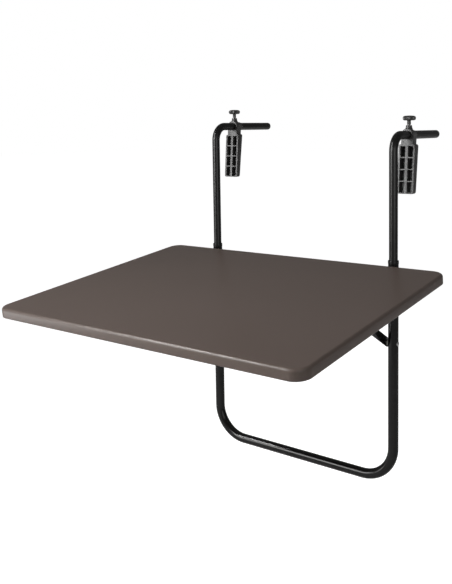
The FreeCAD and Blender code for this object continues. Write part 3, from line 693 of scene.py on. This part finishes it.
def lay_across_leg(bm):
    """Turns what was turned round Z to lie in the right height nut."""
    bmesh.ops.transform(bm, matrix=Matrix.Translation((leg_x, leg_y, nut_z)) @ ALONG_X,
                        verts=bm.verts)


hand_screws = (("clamp", BOSS_TOP + KNOB_GAP, stand_on_boss),
               ("height", NUT_END + KNOB_GAP, lay_across_leg))
glossy_plastic = finish("glossy_charcoal_plastic", moulded_grain, CHARCOAL, CHARCOAL_PALE,
                        gloss=(0.29, 0.36), scales=(900, 40), relief=0.000003, shine=0.85)
for kind, neck_base, put in hand_screws:
    for side in SIDES:
        lift = hook_lift[side] if kind == "clamp" else 0.0
        screw = threaded_screw(PAD_TOP, neck_base + SCREW_IN_KNOB)
        shapes = (("screw", screw, zinc_plate, "bright_steel"),
                  ("knob", lobed_knob(neck_base), glossy_plastic, "black_plastic"))
        for label, bm, material, slot in shapes:
            put(bm)
            set_side(bm, side, lift)
            make_piece(f"{kind}_hand_{label}_{side}", bm, material, slot, f"{kind}_knob_{side}",
                       f"{kind}_{label}_{side}")


# Screw tips: small natural nylon discs, hollowed to sit on the hook tube. The screw
# turns on them, so they press without scoring the coat.
NYLON = (0.66, 0.64, 0.58)
NYLON_PALE = (0.72, 0.70, 0.64)
nylon = finish("natural_nylon", moulded_grain, NYLON, NYLON_PALE, gloss=(0.38, 0.48),
               scales=(1300, 60), relief=0.000008, shine=0.5)
for kind in ("clamp", "height"):
    for side in SIDES:
        tip = frame["nodes"][f"{kind}_pad_{side}"]
        tip.data.materials.clear()
        tip.data.materials.append(nylon)


# Hinge studs and washers: a shouldered, zinc-plated stud on the inner side of each leg is
# the tabletop's fold axis. A nylon washer keeps the moving plate off the leg's coat.
STUD_R = 0.003
STUD_HEAD_R = 0.0065
STUD_HEAD_T = 0.003
STUD_IN_LEG = 0.0008
WASHER_R = 0.007
WASHER_BORE_R = STUD_R + 0.0001
WASHER_T = 0.001
WASHER_X = 0.2437
RAIL_X = 0.23925
PLATE_OUT_X = 0.24255
PLATE_T = 0.003
SIDE_GAP = 0.0003
joints = {joint["name"]: joint for joint in frame["joints"]}
hinge = Vector(joints["table_fold"]["pos_m"])
strut_pivot = Vector((0, leg_y, joints["strut_swing_right"]["pos_m"][2]))


def pivot_washer(z):
    """A washer on the inner side of the right leg."""
    return turned([(WASHER_BORE_R, 0, 0.0001), (WASHER_R, 0, 0.00025),
                   (WASHER_R, WASHER_T, 0.00025), (WASHER_BORE_R, WASHER_T, 0.0001)],
                  SMALL_SIDES, Matrix.Translation((WASHER_X - WASHER_T, leg_y, z)) @ ALONG_X)


head_x = RAIL_X - SIDE_GAP
stud_end = leg_x - LEG_R + STUD_IN_LEG
for side in SIDES:
    bm = turned([(0, head_x - STUD_HEAD_T, 0), (STUD_HEAD_R, head_x - STUD_HEAD_T, 0.0016),
                 (STUD_HEAD_R, head_x, 0.0002), (STUD_R, head_x, 0), (STUD_R, stud_end, 0),
                 (0, stud_end, 0)], SMALL_SIDES, Matrix.Translation((0, leg_y, hinge.z)) @ ALONG_X)
    set_side(bm, side)
    make_piece("hinge_shoulder_stud_" + side, bm, zinc_plate, "bright_steel", "frame",
               "hinge_stud_" + side)
    for node, z in (("hinge_washer_", hinge.z), ("strut_washer_", strut_pivot.z)):
        bm = pivot_washer(z)
        set_side(bm, side)
        make_piece(node.replace("washer", "nylon_washer") + side, bm, nylon, "natural_nylon",
                   "frame", node + side)


# Struts: flat steel bars, 20.5 by 3 mm with round ends, from the legs up to the sliders
# under the top. Punched, so their edges are slightly rolled, and coated black.
STRUT_HALF = 0.01025
STRUT_LENGTH = 0.27507
STRUT_SLOPE = math.radians(30.4)
PUNCHED_EDGE = 0.00045
PUNCHED_EDGE_FROM = math.radians(60)
ARC_ENDS_MEET = 1e-5
PLATE_IN_X = PLATE_OUT_X - PLATE_T


def plate(outline, place):
    """A flat plate across X from (y, z, corner radius) points, with softened edges."""
    bm = bmesh.new()
    points = [bm.verts.new((y, z, 0)) for y, z, corner in outline]
    bm.faces.new(points)
    round_corners(bm, points, outline, steps=10)
    bmesh.ops.remove_doubles(bm, verts=bm.verts, dist=ARC_ENDS_MEET)
    made = bmesh.ops.extrude_face_region(bm, geom=list(bm.faces))["geom"]
    bmesh.ops.translate(bm, vec=(0, 0, PLATE_T),
                        verts=[item for item in made if isinstance(item, bmesh.types.BMVert)])
    bmesh.ops.recalc_face_normals(bm, faces=bm.faces)
    rim = [edge for edge in bm.edges if edge.calc_face_angle(0) > PUNCHED_EDGE_FROM]
    round_edges(bm, rim, PUNCHED_EDGE, steps=3)
    bmesh.ops.transform(bm, matrix=place @ Matrix.Translation((PLATE_IN_X, 0, 0)) @ ALONG_X,
                        verts=bm.verts)
    return bm


on_strut = Matrix.Translation(strut_pivot) @ Matrix.Rotation(-STRUT_SLOPE, 4, "X")
strut_tip = -STRUT_LENGTH - STRUT_HALF
for side in SIDES:
    bm = plate([(strut_tip, -STRUT_HALF, STRUT_HALF), (STRUT_HALF, -STRUT_HALF, STRUT_HALF),
                (STRUT_HALF, STRUT_HALF, STRUT_HALF), (strut_tip, STRUT_HALF, STRUT_HALF)],
               on_strut)
    set_side(bm, side)
    make_piece("flat_strut_" + side, bm, black_coat, "black_paint", "strut_" + side,
               "strut_" + side)


# Rivets of the struts: zinc-plated steel with domed heads. The lower one goes through the
# leg, and the upper one ends at the slider's face.
RIVET_R = 0.003
HEAD_R = 0.0055
PIVOT_IN_HEAD = 0.0026
PIVOT_OUT_HEAD = PIVOT_IN_HEAD - 0.0008
HEAD_SUNK = 0.0006
HEAD_ROOT = 0.003
HEAD_SHOULDER = 0.002
TIP_RIM = 0.0003
TIP_HEAD = 0.0016
DOME_STEPS = 6


def dome(radius, foot, height):
    """Points of a domed head that ends on the axis."""
    arc = [i / DOME_STEPS * QUARTER for i in range(1, DOME_STEPS)]
    return [(radius * math.cos(angle), foot + height * math.sin(angle), 0)
            for angle in arc] + [(0, foot + height, 0)]


inner_x = RAIL_X - SIDE_GAP / 2
out_x = leg_x + LEG_R
head_foot = out_x - HEAD_SUNK
tip_foot = PLATE_OUT_X + TIP_RIM
for side in SIDES:
    bm = turned([(0, inner_x - PIVOT_IN_HEAD, 0), (HEAD_R, inner_x - PIVOT_IN_HEAD, 0.0014),
                 (HEAD_R, inner_x, 0.0002), (RIVET_R, inner_x, 0), (RIVET_R, out_x - HEAD_ROOT, 0),
                 (HEAD_R, out_x - HEAD_SHOULDER, 0), (HEAD_R, head_foot, 0.0002)]
                + dome(HEAD_R, head_foot, PIVOT_OUT_HEAD), SMALL_SIDES,
                Matrix.Translation((0, leg_y, strut_pivot.z)) @ ALONG_X)
    set_side(bm, side)
    make_piece("strut_pivot_rivet_" + side, bm, zinc_plate, "bright_steel", "frame",
               "strut_rivet_" + side)
    bm = turned([(0, PLATE_IN_X, 0), (RIVET_R, PLATE_IN_X, 0), (RIVET_R, PLATE_OUT_X, 0),
                 (HEAD_R, PLATE_OUT_X, 0.0002), (HEAD_R, tip_foot, 0)]
                + dome(HEAD_R, tip_foot, TIP_HEAD - TIP_RIM), SMALL_SIDES,
                on_strut @ Matrix.Translation((0, -STRUT_LENGTH, 0)) @ ALONG_X)
    set_side(bm, side)
    make_piece("strut_tip_rivet_head_" + side, bm, zinc_plate, "bright_steel", "strut_" + side,
               "strut_tip_rivet_" + side)


# Tabletop: one pressed sheet of 1.2 mm steel with rounded corners. Its rim is turned down
# into a lip and hemmed inwards, and it is coated in taupe powder on both sides.
TOP_HALF = 0.390
TOP_BACK = -0.0135
TOP_FRONT = -0.6135
TOP_OVER_HINGE = 0.0455
TOP_FALL = math.radians(6)
TOP_CORNER = 0.030
TOP_EDGE = 0.006
LIP = 0.022
HEM = 0.008
HEM_BEND = 0.002
HEM_FOLD_FROM = math.radians(57)
FLAT_INSET = 0.004
SHEET = 0.0012
TAUPE = (0.0812, 0.0622, 0.0534)
TAUPE_PALE = (0.0872, 0.0672, 0.0584)
on_table = Matrix.Translation(hinge) @ Matrix.Rotation(TOP_FALL, 4, "X")
taupe_coat = finish("taupe_powder_coat", powder_peel, TAUPE, TAUPE_PALE, gloss=(0.28, 0.31),
                    scales=(450, 5), relief=0.000003, shine=0.26)


def at_height(edge, z):
    """Whether an edge lies level at a height."""
    return all(abs(corner.co.z - z) < SAME_POINT for corner in edge.verts)


bm = bmesh.new()
corners = [bm.verts.new((x, y, TOP_OVER_HINGE)) for x, y in
           ((-TOP_HALF, TOP_FRONT), (TOP_HALF, TOP_FRONT),
            (TOP_HALF, TOP_BACK), (-TOP_HALF, TOP_BACK))]
bm.faces.new(corners)
bmesh.ops.bevel(bm, geom=corners, offset=TOP_CORNER, segments=20, profile=0.5, affect="VERTICES",
                material=-1)
run_straight(bm, [edge for edge in bm.edges if edge.is_boundary], (0, 0, -LIP))
rim = [edge for edge in bm.edges if at_height(edge, TOP_OVER_HINGE)]
round_edges(bm, rim, TOP_EDGE, steps=10)
made = bmesh.ops.contextual_create(bm, geom=[edge for edge in bm.edges if edge.is_boundary])
mouth = made["faces"][0]
bmesh.ops.inset_region(bm, faces=[mouth], thickness=HEM)
bmesh.ops.delete(bm, geom=[mouth], context="FACES_ONLY")
fold = [edge for edge in bm.edges if at_height(edge, TOP_OVER_HINGE - LIP)
        and len(edge.link_faces) == 2 and edge.calc_face_angle(0) > HEM_FOLD_FROM]
round_edges(bm, fold, HEM_BEND, steps=5)
bmesh.ops.recalc_face_normals(bm, faces=bm.faces)
sheet_top = max(bm.faces, key=lambda face: face.calc_area())
if sheet_top.normal.z < 0:
    bmesh.ops.reverse_faces(bm, faces=bm.faces)
bmesh.ops.inset_region(bm, faces=[sheet_top], thickness=FLAT_INSET)
bmesh.ops.solidify(bm, geom=list(bm.faces), thickness=SHEET)
bmesh.ops.transform(bm, matrix=on_table, verts=bm.verts)
make_piece("tabletop_pressed_sheet", bm, taupe_coat, "taupe_paint", "tabletop", "tabletop_panel")


# Under the top: two folded hat channels spot-welded to the sheet, and two folded side rails
# with a long slot for the sliders. The channels wear the top's coat and the rails are black.
UNDER_SHEET = TOP_OVER_HINGE - SHEET
CHANNEL_BEND = 0.0016
CHANNEL_T = 0.0012
CHANNEL_H = 0.009
CHANNEL_W = 0.040
CHANNEL_BRIM = 0.010
CHANNEL_HALF = 0.22325
CHANNEL_MIDDLES = (("back", -0.170), ("front", -0.450))
FOLD_STEPS = 5
RAIL_T = 0.0015
RAIL_BEND = 0.0022
RAIL_LOW = 0.0145
RAIL_FLANGE = 0.014
RAIL_FOOT = 0.007
RAIL_BACK = -0.026
RAIL_FRONT = -0.5735
SLOT_Z = 0.024
SLOT_HALF = 0.0032
SLOT_END_R = SLOT_HALF * 0.999
SLOT_BACK = -0.21633
SLOT_FRONT = -0.42102


def thicken(bm, direction, thickness):
    """Gives a folded skin its sheet thickness, away from the side that faces a direction."""
    bmesh.ops.recalc_face_normals(bm, faces=bm.faces)
    largest = max(bm.faces, key=lambda face: face.calc_area())
    if largest.normal.dot(Vector(direction)) < 0:
        bmesh.ops.reverse_faces(bm, faces=bm.faces)
    bmesh.ops.solidify(bm, geom=list(bm.faces), thickness=thickness)


def hat_channel(middle):
    """A channel's lower skin, folded from brim to brim, then given its thickness."""
    bm = bmesh.new()
    brim_z = UNDER_SHEET - CHANNEL_T
    low_z = UNDER_SHEET - CHANNEL_H
    y0, y1, r = middle - CHANNEL_W / 2, middle + CHANNEL_W / 2, CHANNEL_BEND
    first = [bm.verts.new((x, y0 - CHANNEL_BRIM, brim_z)) for x in (-CHANNEL_HALF, CHANNEL_HALF)]
    ends = [bm.edges.new(first)]
    wall = low_z - brim_z + 2 * r
    folds = [((0, CHANNEL_BRIM - r, 0), (0, y0 - r, brim_z - r), -QUARTER),
             ((0, 0, wall), (0, y0 + r, low_z + r), QUARTER),
             ((0, CHANNEL_W - 2 * r, 0), (0, y1 - r, low_z + r), QUARTER),
             ((0, 0, -wall), (0, y1 + r, brim_z - r), -QUARTER)]
    for step, centre, angle in folds:
        ends = run_straight(bm, ends, step)
        ends = run_bend(bm, ends, centre, (1, 0, 0), angle, FOLD_STEPS)
    run_straight(bm, ends, (0, CHANNEL_BRIM - r, 0))
    thicken(bm, (0, 0, -1), CHANNEL_T)
    bmesh.ops.transform(bm, matrix=on_table, verts=bm.verts)
    return bm


def side_rail():
    """A rail's outer skin: the slotted web, then the flange and the foot folded from it."""
    bm = bmesh.new()
    low, high = RAIL_LOW + RAIL_BEND, UNDER_SHEET - RAIL_BEND
    corners = [bm.verts.new((RAIL_X, y, z)) for y, z in
               ((RAIL_FRONT, low), (RAIL_BACK, low), (RAIL_BACK, high), (RAIL_FRONT, high))]
    outer = [bm.edges.new(pair) for pair in zip(corners, corners[1:] + corners[:1])]
    slot = [bm.verts.new((RAIL_X, y, z)) for y, z in
            ((SLOT_FRONT, SLOT_Z - SLOT_HALF), (SLOT_BACK, SLOT_Z - SLOT_HALF),
             (SLOT_BACK, SLOT_Z + SLOT_HALF), (SLOT_FRONT, SLOT_Z + SLOT_HALF))]
    bm.faces.new(slot)
    bmesh.ops.bevel(bm, geom=slot, offset=SLOT_END_R, segments=8, profile=0.5, affect="VERTICES",
                    material=-1)
    bmesh.ops.delete(bm, geom=bm.faces[:], context="FACES_ONLY")
    bmesh.ops.triangle_fill(bm, use_beauty=True, edges=list(bm.edges), normal=(1, 0, 0))
    for edge, z, turn, width in ((outer[2], high, -QUARTER, RAIL_FLANGE),
                                 (outer[0], low, QUARTER, RAIL_FOOT)):
        ends = run_bend(bm, [edge], (RAIL_X - RAIL_BEND, 0, z), (0, 1, 0), turn, FOLD_STEPS)
        run_straight(bm, ends, (RAIL_BEND - width, 0, 0))
    thicken(bm, (1, 0, 0), RAIL_T)
    bmesh.ops.transform(bm, matrix=on_table, verts=bm.verts)
    return bm


for name, middle in CHANNEL_MIDDLES:
    make_piece("hat_channel_" + name, hat_channel(middle), taupe_coat, "taupe_paint", "tabletop",
               "top_stiffener_" + name)
for side in SIDES:
    bm = side_rail()
    set_side(bm, side)
    make_piece("slotted_rail_" + side, bm, black_coat, "black_paint", "tabletop",
               "side_rail_" + side)


# Hinge brackets: ears punched from 3 mm plate. An eye turns on the stud, and a tab passes
# under the back lip and is riveted twice to the rail's web.
LIP_FOOT = 0.0235
BRACKET_NECK = LIP_FOOT - SHEET
BRACKET_TOP = UNDER_SHEET - 2 * SHEET
BRACKET_BACK = -TOP_BACK + HEM + SHEET
BRACKET_END = 0.072
BRACKET_LOW_CORNER = 0.0432
EYE_R = 0.010
BRACKET_RIVETS = (-0.038, -0.060)
BRACKET_RIVET_Z = 0.0323
BRACKET_RIVET_R = 0.0025
BRACKET_HEAD_R = 0.0045
BRACKET_HEAD_T = 0.0016
BRACKET_HEAD_RIM = 0.0002
web_x = RAIL_X - RAIL_T
rim_x = PLATE_OUT_X + BRACKET_HEAD_RIM
for side in SIDES:
    bm = plate([(EYE_R, -EYE_R, EYE_R * 0.98), (EYE_R, EYE_R * 0.9, 0.0055),
                (-EYE_R, BRACKET_NECK, 0.002), (-BRACKET_BACK, BRACKET_NECK, 0.0012),
                (-BRACKET_BACK, BRACKET_TOP, 0.003), (-BRACKET_END, BRACKET_TOP, 0.004),
                (-BRACKET_END, BRACKET_NECK, 0.004), (-BRACKET_LOW_CORNER, RAIL_LOW, 0.012),
                (-EYE_R * 0.75, -EYE_R, 0.005)], on_table)
    set_side(bm, side)
    make_piece("hinge_ear_plate_" + side, bm, black_coat, "black_paint", "tabletop",
               "hinge_bracket_" + side)
    bm = bmesh.new()
    for y in BRACKET_RIVETS:
        lathe(bm, [(0, web_x - BRACKET_HEAD_T, 0),
                   (BRACKET_HEAD_R, web_x - BRACKET_HEAD_T, 0.0007),
                   (BRACKET_HEAD_R, web_x, 0.0002), (BRACKET_RIVET_R, web_x, 0),
                   (BRACKET_RIVET_R, PLATE_OUT_X, 0), (BRACKET_HEAD_R, PLATE_OUT_X, 0.0001),
                   (BRACKET_HEAD_R, rim_x, 0)]
              + dome(BRACKET_HEAD_R, rim_x, WASHER_T - BRACKET_HEAD_RIM), sides=40,
              place=on_table @ Matrix.Translation((0, y, BRACKET_RIVET_Z)) @ ALONG_X)
    set_side(bm, side)
    make_piece("bracket_rivet_heads_" + side, bm, zinc_plate, "bright_steel", "tabletop",
               "bracket_rivets_" + side)


# Sliders: natural nylon blocks. The neck runs in the rail's slot and the flange behind the
# web keeps it there while the strut's end travels.
BLOCK_HALF = 0.005
BLOCK_NECK_HALF = 0.003
BLOCK_FLANGE_Y = 0.011
BLOCK_FLANGE_Z = 0.0075
BLOCK_FLANGE_T = 0.003
BLOCK_OVERLAP = 0.0005
SLIDER_Y = -0.23604


def moulded_block(bm, low, high, corner):
    """A small box with rounded edges, between two corners."""
    made = bmesh.ops.create_cube(bm, size=1.0)["verts"]
    centre = [(a + b) / 2 for a, b in zip(low, high)]
    bmesh.ops.scale(bm, vec=[b - a for a, b in zip(low, high)], verts=made)
    bmesh.ops.translate(bm, vec=centre, verts=made)
    edges = list({edge for point in made for edge in point.link_edges})
    round_edges(bm, edges, corner, steps=4)


flange_x = RAIL_X - RAIL_T - SIDE_GAP
for side in SIDES:
    bm = bmesh.new()
    moulded_block(bm, (flange_x - BLOCK_OVERLAP, SLIDER_Y - BLOCK_HALF, SLOT_Z - BLOCK_NECK_HALF),
                  (RAIL_X, SLIDER_Y + BLOCK_HALF, SLOT_Z + BLOCK_NECK_HALF), corner=0.0004)
    moulded_block(bm, (flange_x - BLOCK_FLANGE_T, SLIDER_Y - BLOCK_FLANGE_Y,
                       SLOT_Z - BLOCK_FLANGE_Z),
                  (flange_x, SLIDER_Y + BLOCK_FLANGE_Y, SLOT_Z + BLOCK_FLANGE_Z), corner=0.0009)
    bmesh.ops.transform(bm, matrix=on_table, verts=bm.verts)
    set_side(bm, side)
    make_piece("nylon_slider_" + side, bm, nylon, "natural_nylon", "slider_" + side,
               "slide_block_" + side)


# Studio floor: pale paper under the hanging table. It keeps the table's soft shadow and
# reads as white to the camera.
FLOOR_Z = -1.05
FLOOR_SIZE = 60
PAPER = (0.52, 0.52, 0.52, 1)
PAPER_ROUGHNESS = 0.9
PAPER_LIFT = 0.84
WHITE = (1, 1, 1, 1)
bpy.ops.mesh.primitive_plane_add(size=FLOOR_SIZE, location=(0, 0, FLOOR_Z))
floor = bpy.context.object
floor.name = "studio_floor"
paper = bpy.data.materials.new("studio_paper")
paper.use_nodes = True
nodes, links = paper.node_tree.nodes, paper.node_tree.links
shader = nodes["Principled BSDF"]
shader.inputs["Base Color"].default_value = PAPER
shader.inputs["Roughness"].default_value = PAPER_ROUGHNESS
shader.inputs["Emission Color"].default_value = WHITE
rays = nodes.new("ShaderNodeLightPath")
lift = nodes.new("ShaderNodeMath")
lift.operation = "MULTIPLY"
lift.inputs[1].default_value = PAPER_LIFT
links.new(rays.outputs["Is Camera Ray"], lift.inputs[0])
links.new(lift.outputs[0], shader.inputs["Emission Strength"])
floor.data.materials.append(paper)


# Studio room: white to the camera. Glossy coats mirror a dim room with a white backdrop
# behind the table. The room's own light is soft and even, and the softboxes add the rest.
BACKDROP = 1.0
BACKDROP_SIDE = (-0.61, 0.79, 0)
BACKDROP_EDGE = (0.50, 0.80)
CEILING_EDGE = (0.08, -0.06)
DIM_ROOM = 0.12
ROOM_LIGHT = 0.34
MIX_FIRST, MIX_SECOND = 2, 3
room = bpy.data.worlds.new("studio_room")
scene.world = room
room.use_nodes = True
nodes, links = room.node_tree.nodes, room.node_tree.links
sky = nodes["Background"]
sky.inputs["Color"].default_value = WHITE


def eased_share(value, span):
    """How far a value has come along a span, eased at both ends."""
    share = nodes.new("ShaderNodeMapRange")
    share.interpolation_type = "SMOOTHSTEP"
    share.inputs["From Min"].default_value, share.inputs["From Max"].default_value = span
    links.new(value, share.inputs["Value"])
    return share.outputs["Result"]


def combined(operation, first, second):
    """One value made of two."""
    both = nodes.new("ShaderNodeMath")
    both.operation = operation
    links.new(first, both.inputs[0])
    links.new(second, both.inputs[1])
    return both.outputs[0]


direction = nodes.new("ShaderNodeTexCoord")
towards = nodes.new("ShaderNodeSeparateXYZ")
links.new(direction.outputs["Generated"], towards.inputs["Vector"])
facing = nodes.new("ShaderNodeVectorMath")
facing.operation = "DOT_PRODUCT"
facing.inputs[1].default_value = BACKDROP_SIDE
links.new(direction.outputs["Generated"], facing.inputs[0])
mirrored = nodes.new("ShaderNodeMapRange")
mirrored.inputs["To Min"].default_value = DIM_ROOM
mirrored.inputs["To Max"].default_value = BACKDROP
links.new(combined("MULTIPLY", eased_share(facing.outputs["Value"], BACKDROP_EDGE),
                   eased_share(towards.outputs["Z"], CEILING_EDGE)), mirrored.inputs["Value"])
rays = nodes.new("ShaderNodeLightPath")
in_gloss = nodes.new("ShaderNodeMix")
in_gloss.inputs[MIX_FIRST].default_value = ROOM_LIGHT
links.new(rays.outputs["Is Glossy Ray"], in_gloss.inputs["Factor"])
links.new(mirrored.outputs["Result"], in_gloss.inputs[MIX_SECOND])
seen = combined("MAXIMUM", rays.outputs["Is Camera Ray"], rays.outputs["Is Transmission Ray"])
level = nodes.new("ShaderNodeMix")
level.inputs[MIX_SECOND].default_value = BACKDROP
links.new(seen, level.inputs["Factor"])
links.new(in_gloss.outputs[0], level.inputs[MIX_FIRST])
links.new(level.outputs[0], sky.inputs["Strength"])


def softbox(name, place, aim, size, power, spread=180):
    """A rectangular studio lamp that faces a point on the table. A grid narrows its spread."""
    light = bpy.data.lights.new(name, "AREA")
    light.shape = "RECTANGLE"
    light.size, light.size_y = size
    light.energy = power
    light.spread = math.radians(spread)
    holder = bpy.data.objects.new(name, light)
    scene.collection.objects.link(holder)
    holder.location = place
    holder.rotation_euler = (Vector(aim) - Vector(place)).to_track_quat("-Z", "Y").to_euler()
    return holder


softbox("large_box", (-1.55, -2.50, 0.28), aim=(0, 0, -0.1), size=(1.20, 0.95), power=40)
softbox("long_strip", (-1.05, -2.72, 1.00), aim=(0, 0, -0.8), size=(1.50, 0.18), power=27)
softbox("upper_left_box", (-1.75, -1.98, 1.75), aim=(-0.02, -0.76, -0.35), size=(0.95, 0.34),
        power=4.9, spread=42)
softbox("low_left_box", (-1.66, -1.62, -0.78), aim=(-0.2, -0.65, -0.38), size=(0.85, 0.48),
        power=6)
softbox("right_fill", (2.5, -1.7, 0.1), aim=(0, -0.2, -0.4), size=(1.8, 1.4), power=15)
back_fill = softbox("back_fill", (0.4, 2.6, -0.1), aim=(0, 0, -0.35), size=(1.8, 1.2), power=22)
back_fill.visible_glossy = False


# Camera: it stands where the photograph was taken from, slightly rolled. Its focal length
# and shift are in the photograph's pixels, and they give its framing.
CAMERA_PLACE = Vector((1.000435, -1.634391, 0.026412))
YAW, PITCH, ROLL = (math.radians(angle) for angle in (37.4997, 4.3886, -0.9120))
PHOTO_HEIGHT = 584
FOCAL = 757.424
SHIFT = -103.064
SENSOR = 36.0
ahead = Vector((-math.sin(YAW) * math.cos(PITCH), math.cos(YAW) * math.cos(PITCH),
                -math.sin(PITCH)))
level_right = Vector((math.cos(YAW), math.sin(YAW), 0))
level_up = level_right.cross(ahead)
right = math.cos(ROLL) * level_right + math.sin(ROLL) * level_up
up = math.cos(ROLL) * level_up - math.sin(ROLL) * level_right
lens = bpy.data.cameras.new("photo_camera")
lens.sensor_width = SENSOR
lens.lens = FOCAL * SENSOR / PHOTO_HEIGHT
lens.shift_y = SHIFT / PHOTO_HEIGHT
camera = bpy.data.objects.new("photo_camera", lens)
scene.collection.objects.link(camera)
turn = Matrix((right, up, -ahead)).transposed()
camera.matrix_world = Matrix.Translation(CAMERA_PLACE) @ turn.to_4x4()
scene.camera = camera
scene.view_settings.view_transform = "Standard"
